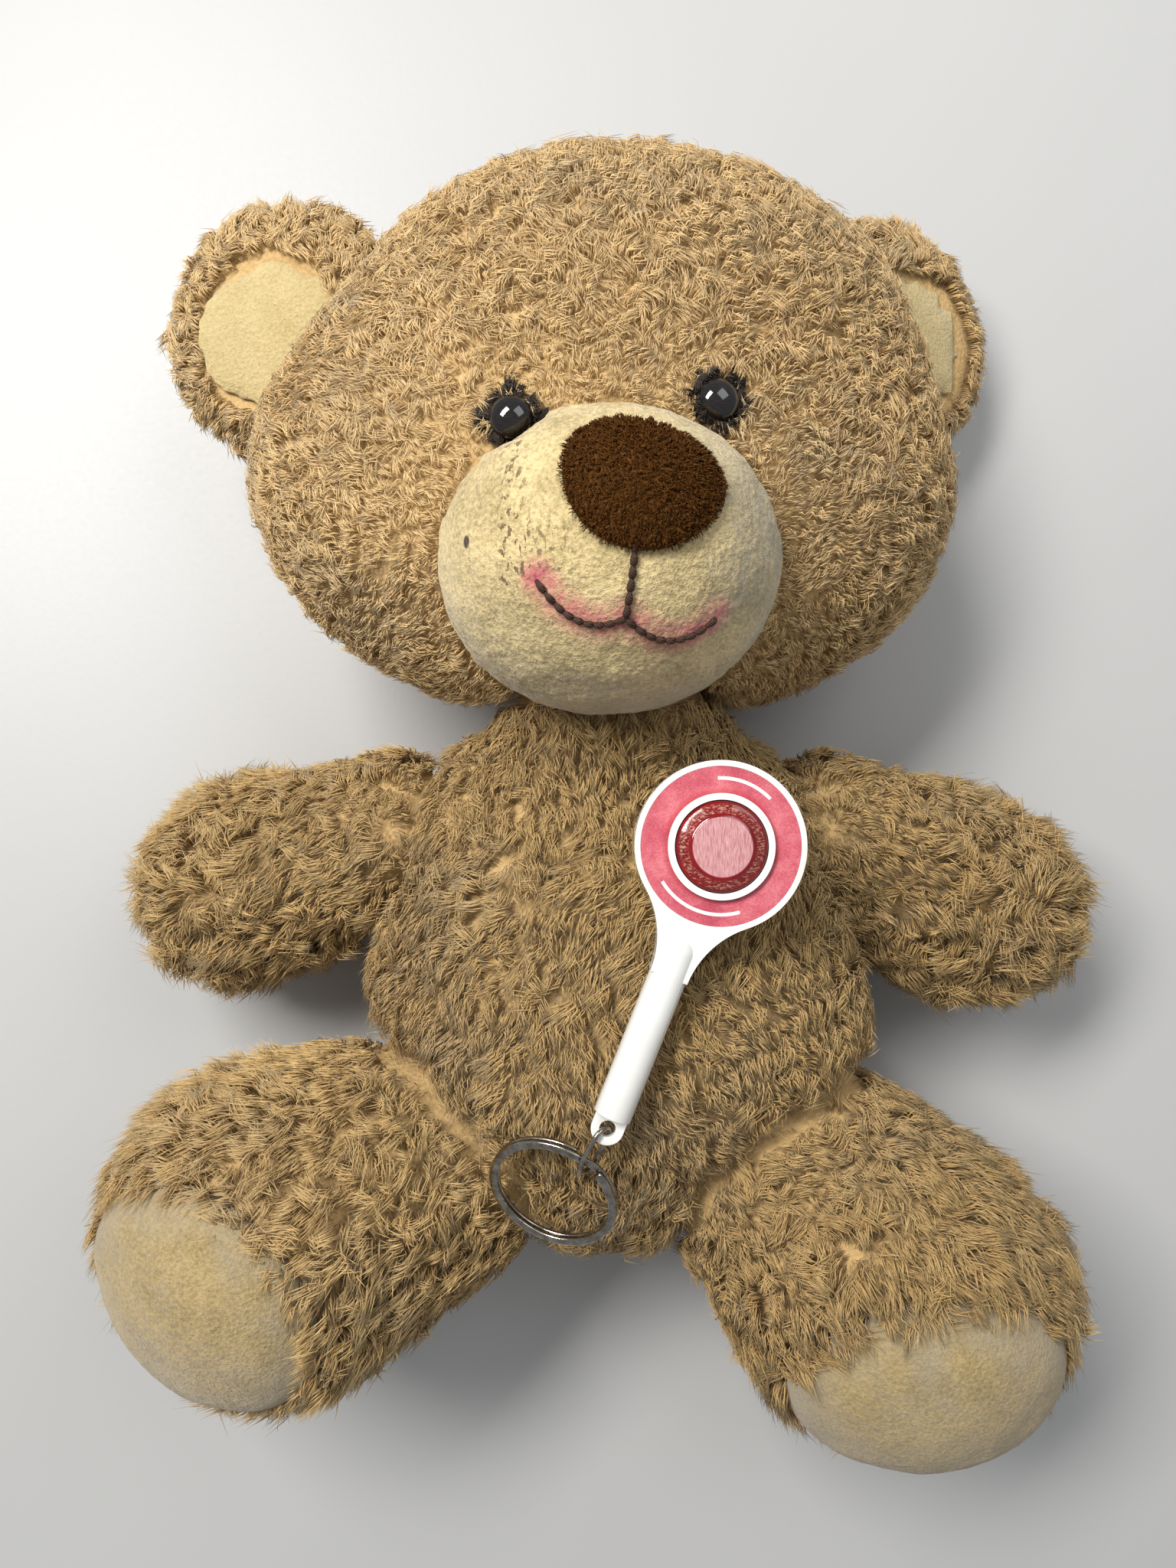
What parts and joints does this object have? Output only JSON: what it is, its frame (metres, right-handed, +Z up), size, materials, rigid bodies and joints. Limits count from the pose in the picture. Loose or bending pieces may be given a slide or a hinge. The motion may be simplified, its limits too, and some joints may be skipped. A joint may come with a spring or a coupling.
{
  "type": "plush bear with key light",
  "caption": "Plush teddy bear lying on its back, with a small signalling-paddle key light, chain link and split ring lying on its belly.",
  "frame": {"origin": "On the supporting surface, under the middle of the whole object.", "axes": "+Z points up out of the belly, +Y to the crown of the head, +X to the bear's own left."},
  "size_m": [0.2179, 0.2837, 0.1168],
  "materials": {
    "fur_fabric": "sherpa pile",
    "cream_pile": "short velour pile",
    "stuffing": "matte fibre",
    "nose_pile": "short pile",
    "brown_thread": "satin thread",
    "tan_thread": "matte thread",
    "black_eye": "gloss",
    "washer_plastic": "matte",
    "white_shell": "gloss",
    "signal_film": "satin sparkle",
    "red_lens": "clear gloss",
    "led_epoxy": "clear gloss",
    "board": "satin",
    "black_plastic": "matte",
    "battery_steel": "brushed",
    "screw_steel": "satin",
    "nickel_wire": "polished"
  },
  "bodies": {
    "torso": {"torso_skin": "fur_fabric", "torso_stuffing": "stuffing", "back_seam": "tan_thread"},
    "head": {"head_skin": "fur_fabric", "head_stuffing": "stuffing", "left_ear_back": "fur_fabric", "right_ear_back": "fur_fabric", "left_ear_lining": "cream_pile", "right_ear_lining": "cream_pile", "muzzle_panel": "cream_pile", "muzzle_stuffing": "stuffing", "nose_patch": "nose_pile", "mouth_stitching": "brown_thread", "left_eye": "black_eye", "right_eye": "black_eye", "eye_washers": "washer_plastic"},
    "left_arm": {"left_arm_skin": "fur_fabric", "left_arm_stuffing": "stuffing"},
    "right_arm": {"right_arm_skin": "fur_fabric", "right_arm_stuffing": "stuffing"},
    "left_leg": {"left_leg_skin": "fur_fabric", "left_leg_stuffing": "stuffing", "left_sole_pad": "cream_pile"},
    "right_leg": {"right_leg_skin": "fur_fabric", "right_leg_stuffing": "stuffing", "right_sole_pad": "cream_pile"},
    "paddle": {"front_shell": "white_shell", "back_shell": "white_shell", "front_label": "signal_film", "back_label": "signal_film", "back_lens": "red_lens", "circuit_board": "board", "red_led": "led_epoxy", "switch_housing": "black_plastic", "coin_cell": "battery_steel", "battery_clip": "battery_steel", "shell_screws": "screw_steel"},
    "lens_button": {"push_lens": "red_lens", "switch_plunger": "black_plastic"},
    "chain_link": {"chain_link": "nickel_wire"},
    "split_ring": {"split_ring": "nickel_wire"}
  },
  "joints": [
    {"name": "head_turn", "type": "hinge", "parent": "torso", "child": "head", "pos_m": [0, 0.0146, 0.046], "axis": [0, 1, 0], "range_deg": [-18, 5], "stiffness_Nm_per_rad": 1.5},
    {"name": "left_arm_raise", "type": "hinge", "parent": "torso", "child": "left_arm", "pos_m": [0.05, -0.0064, 0.036], "axis": [0, 0, 1], "range_deg": [-5, 43], "stiffness_Nm_per_rad": 0.25},
    {"name": "right_arm_raise", "type": "hinge", "parent": "torso", "child": "right_arm", "pos_m": [-0.05, -0.0064, 0.036], "axis": [0, 0, -1], "range_deg": [-14, 34], "stiffness_Nm_per_rad": 0.25},
    {"name": "left_leg_lift", "type": "hinge", "parent": "torso", "child": "left_leg", "pos_m": [0.034, -0.0774, 0.037], "axis": [-1, 0, 0], "range_deg": [-4, 20], "stiffness_Nm_per_rad": 1},
    {"name": "right_leg_lift", "type": "hinge", "parent": "torso", "child": "right_leg", "pos_m": [-0.034, -0.0774, 0.037], "axis": [-1, 0, 0], "range_deg": [-4, 20], "stiffness_Nm_per_rad": 1},
    {"name": "paddle_lift", "type": "slide", "parent": "torso", "child": "paddle", "axis": [0, 0, 1], "range_m": [0, 0.12]},
    {"name": "lens_press", "type": "slide", "parent": "paddle", "child": "lens_button", "axis": [0, 0, -1], "range_m": [0, 0.0007], "stiffness_N_per_m": 600, "springref_m": -0.001},
    {"name": "link_swing", "type": "hinge", "parent": "paddle", "child": "chain_link", "pos_m": [-0.00127, -0.06175, 0.0814], "axis": [0, 0, 1], "range_deg": [-30, 30]},
    {"name": "ring_swing", "type": "hinge", "parent": "chain_link", "child": "split_ring", "pos_m": [-0.00505, -0.06866, 0.08085], "axis": [-0.771, 0.636, 0.032], "range_deg": [0, 70]}
  ]
}
